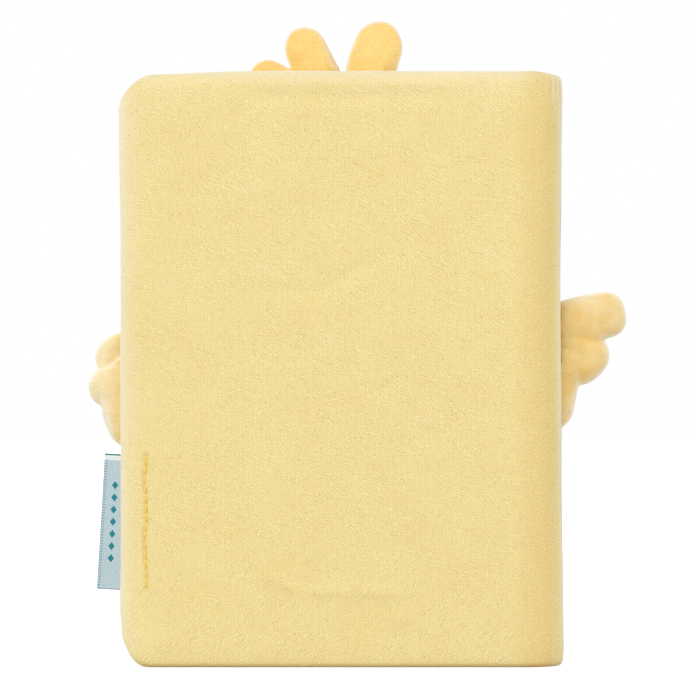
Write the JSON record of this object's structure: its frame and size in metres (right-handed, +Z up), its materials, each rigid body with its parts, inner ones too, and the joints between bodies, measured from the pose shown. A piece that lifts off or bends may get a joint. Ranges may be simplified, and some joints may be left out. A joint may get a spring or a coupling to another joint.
{
  "type": "plush notebook",
  "caption": "Hardback notebook in a padded short-pile plush case with a round spine, hinged covers, small stuffed wings, a stuffed tuft at the head and a folded side label.",
  "frame": {"origin": "on the axis of the half-round spine, at the level the notebook stands on", "axes": "+Z up along the spine, -X from the spine to the fore edge, -Y out of the back cover, +Y out of the front cover"},
  "size_m": [0.1941, 0.0373, 0.2333],
  "materials": {
    "plush": "short-pile plush",
    "feather_plush": "short-pile plush, stuffed",
    "padding": "soft foam",
    "board": "grey board",
    "paper": "uncoated writing paper",
    "endpaper": "uncoated endpaper",
    "ribbon": "woven label ribbon",
    "thread": "sewing thread"
  },
  "bodies": {
    "spine": {"text_block": "paper", "front_flyleaf": "paper", "back_flyleaf": "paper", "spine_lining": "paper", "head_band": "thread", "tail_band": "thread", "spine_strip": "board", "spine_plush": "plush", "spine_wing": "feather_plush"},
    "back_cover": {"back_plush": "plush", "back_padding": "padding", "back_board": "board", "back_infill": "board", "back_pastedown": "endpaper", "label": "ribbon", "label_stitches": "thread"},
    "front_cover": {"front_plush": "plush", "front_padding": "padding", "front_board": "board", "front_infill": "board", "front_pastedown": "endpaper", "fore_wing": "feather_plush", "tuft": "feather_plush"}
  },
  "joints": [
    {"name": "back_cover_swing", "type": "hinge", "parent": "spine", "child": "back_cover", "pos_m": [0, -0.0143, 0], "axis": [0, 0, 1], "range_deg": [0, 175]},
    {"name": "front_cover_swing", "type": "hinge", "parent": "spine", "child": "front_cover", "pos_m": [0, 0.0143, 0], "axis": [0, 0, -1], "range_deg": [0, 175]}
  ]
}
